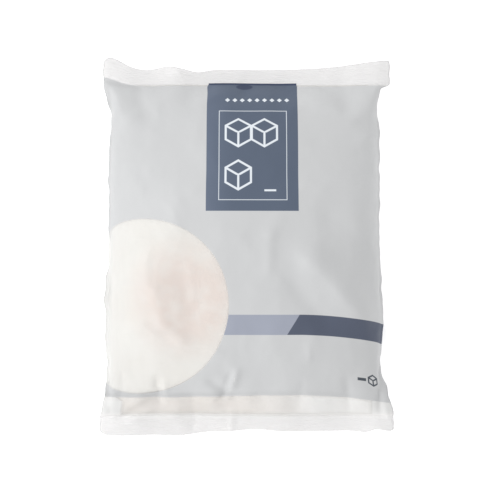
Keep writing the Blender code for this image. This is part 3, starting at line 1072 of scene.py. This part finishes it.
def bare_film(graph, place):
    """Colour and alpha of the film where it carries no print."""
    off_middle = graph.size(place.t)
    seal = graph.inside(graph.minus(off_middle, 0.5 * FLAT_BODY - SEAL_OVERLAP), SEAL_SOFT)
    # Hazier, darker film near the left fold, partly as painted shade.
    near_left = graph.ramp(place.from_left_fold, FLANK_PAINTED_SHADE[0], 0.0)
    flank_shade = graph.times(graph.times(near_left, near_left), graph.inside(place.above_bottom, FLANK_SOFT))
    band = graph.inside(graph.times(place.above_bottom, -1.0), BAND_SOFT)
    # Haze with painted light on the right part of the clear band.
    light_start, light_end, lit_haze_alpha = BAND_PAINTED_LIGHT_HAZE
    lit_haze = graph.ramp(place.s, light_start, light_end)
    # Painted light along the start of the bottom seal, which lifts the shade of the steep film there.
    line_in, line_half, line_alpha = SEAL_LINE
    lit_seal_line = graph.ramp(graph.apart(place.t, line_in - 0.5 * FLAT_BODY), 2 * line_half, 0.0)
    corner_start, corner_end, corner_width, corner_alpha = CORNER
    at_corner = graph.ramp(off_middle, corner_start, corner_end)
    fold_width = graph.blend(at_corner, FOLD_WIDTH, corner_width)
    from_fold = graph.least(place.from_right_fold, place.from_left_fold)
    fold = graph.inside(graph.minus(fold_width, from_fold), FOLD_SOFT)

    shown = graph.mix(band, CLEAR_FILM, graph.mix(lit_haze, BAND_FILM, HAZE_PAINTED_LIGHT_FILM))
    shown = graph.mix(flank_shade, shown, FLANK_PAINTED_SHADE_FILM)
    shown = graph.mix(graph.times(at_corner, fold), shown, CORNER_FILM)
    shown = graph.mix(seal, shown, SEAL_FILM)
    shown = graph.mix(lit_seal_line, shown, SEAL_LINE_PAINTED_LIGHT)

    alpha = graph.blend(flank_shade, CLEAR_ALPHA, FLANK_PAINTED_SHADE[1])
    alpha = graph.blend(graph.times(lit_haze, band), alpha, lit_haze_alpha)
    alpha = graph.most(alpha, graph.times(fold, graph.blend(at_corner, FOLD_ALPHA, corner_alpha)))
    alpha = graph.blend(seal, alpha, SEAL_ALPHA)
    return shown, graph.most(alpha, graph.times(lit_seal_line, line_alpha))


def film_height(graph, place):
    """Height of the film's finest relief: creases beside the seals, crackle and the lap seam."""
    stretched = graph.node("ShaderNodeMapping")
    fill(stretched, {"Vector": place.uv, "Scale": CREASE_STRETCH})
    creases = graph.noise(stretched.outputs[0], 1.0, *FINE_NOISE)
    from_seal = graph.minus(0.5 * FLAT_BODY, graph.size(place.t))
    height = graph.times(creases, graph.ramp(from_seal, CREASE_REACH, 0.0))
    crackle_scale, crackle_height = CRACKLE
    height = graph.scaled(graph.noise(place.solid, crackle_scale, *FINE_NOISE), crackle_height, height)
    on_lap = graph.inside(graph.minus(LAP_HALF, graph.apart(place.s, FLAT_WIDTH)), LAP_SOFT)
    lap_ribs = graph.math("SINE", graph.times(place.t, 2 * math.pi / RIB_PITCH))
    return graph.scaled(on_lap, graph.scaled(lap_ribs, *LAP_RIBS), height)


def film_material():
    material, graph, shader = new_material("Printed film")
    place = FilmPlace(graph)
    label = graph.inside(graph.box(place.s, place.t, *LABEL))
    printed = graph.most(printed_field(graph, place), label)
    bare, bare_alpha = bare_film(graph, place)
    bare_rough, print_rough, uneven_rough = FILM_ROUGHNESS
    rough = graph.scaled(place.uneven, uneven_rough, graph.blend(printed, bare_rough, print_rough))
    shown = graph.mix(printed, bare, print_ink(graph, place, label))
    fill(shader, {"Base Color": shown, "Alpha": graph.blend(printed, bare_alpha, 1.0)})
    fill(shader, {"Roughness": rough, "Specular IOR Level": 0.3, "IOR": 1.5})
    graph.relief(shader, film_height(graph, place), *FILM_RELIEF)
    return material


def sugar_material():
    material, graph, shader = new_material("Sugar")
    solid = graph.node("ShaderNodeTexCoord").outputs["Object"]
    white = graph.mix(graph.patches(solid, *PATCHES), DULL_SUGAR, BRIGHT_SUGAR)
    x, y = graph.axes(solid)[:2]
    # Painted shade in the dent of the window, warm and mottled.
    dent = graph.inside(graph.disc(x, y, *DENT_PAINTED_SHADE), DENT_SHADE_SOFT)
    dent_shade = graph.times(dent, graph.patches(solid, *MOTTLING))
    cream = graph.mix(dent_shade, white, WARM_SUGAR_PAINTED_SHADE)
    grains = graph.node("ShaderNodeTexVoronoi")
    fill(grains, {"Vector": solid, "Scale": GRAINS_PER_METRE})
    grain = grains.outputs["Distance"]
    shown = graph.shaded(cream, graph.scaled(grain, *GRAIN_SHADE))
    fill(shader, {"Base Color": shown, "Roughness": 0.6, "Specular IOR Level": 0.25})
    graph.relief(shader, grain, *SUGAR_RELIEF)
    return material


def make_floor():
    corners = FLOOR_REACH * np.array([(-1, -1, 0), (1, -1, 0), (1, 1, 0), (-1, 1, 0)])
    floor = add_mesh("floor", corners, np.arange(4)[None, :])
    material, _, shader = new_material("Floor")
    fill(shader, {"Base Color": FLOOR_GREY, "Roughness": 0.9})
    fill(shader, {"Emission Color": (1, 1, 1, 1), "Emission Strength": FLOOR_GLOW})
    floor.data.materials.append(material)


def set_light():
    world = bpy.data.worlds.new("Studio")
    bpy.context.scene.world = world
    world.use_nodes = True
    fill(world.node_tree.nodes["Background"], {"Color": (1, 1, 1, 1), "Strength": SKY_STRENGTH})
    light = bpy.data.lights.new("Key", "AREA")
    light.size = KEY_SIZE
    light.energy = KEY_WATTS
    lamp = add_object("Key", light)
    lamp.location = KEY_PLACE
    lamp.rotation_euler = (-Vector(KEY_PLACE)).to_track_quat("-Z", "Y").to_euler()
    bpy.context.scene.view_settings.view_transform = "Standard"


def set_camera():
    """A camera that looks straight down and takes in FRAME_SIZE at the height of the outline."""
    camera_data = bpy.data.cameras.new("Camera")
    camera_data.lens = camera_data.sensor_width * (CAMERA_PLACE[2] - OUTLINE_HEIGHT) / FRAME_SIZE
    camera = add_object("Camera", camera_data)
    camera.location = CAMERA_PLACE
    bpy.context.scene.camera = camera


def main():
    front, back, rows_t = sheets()
    film = make_film(front, back, rows_t)
    film.data.materials.append(film_material())
    sugar = make_sugar(front, back)
    sugar.data.materials.append(sugar_material())
    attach(film, "root")
    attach(sugar, "root")
    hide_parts("sugar_bag")
    make_floor()
    set_light()
    set_camera()


main()
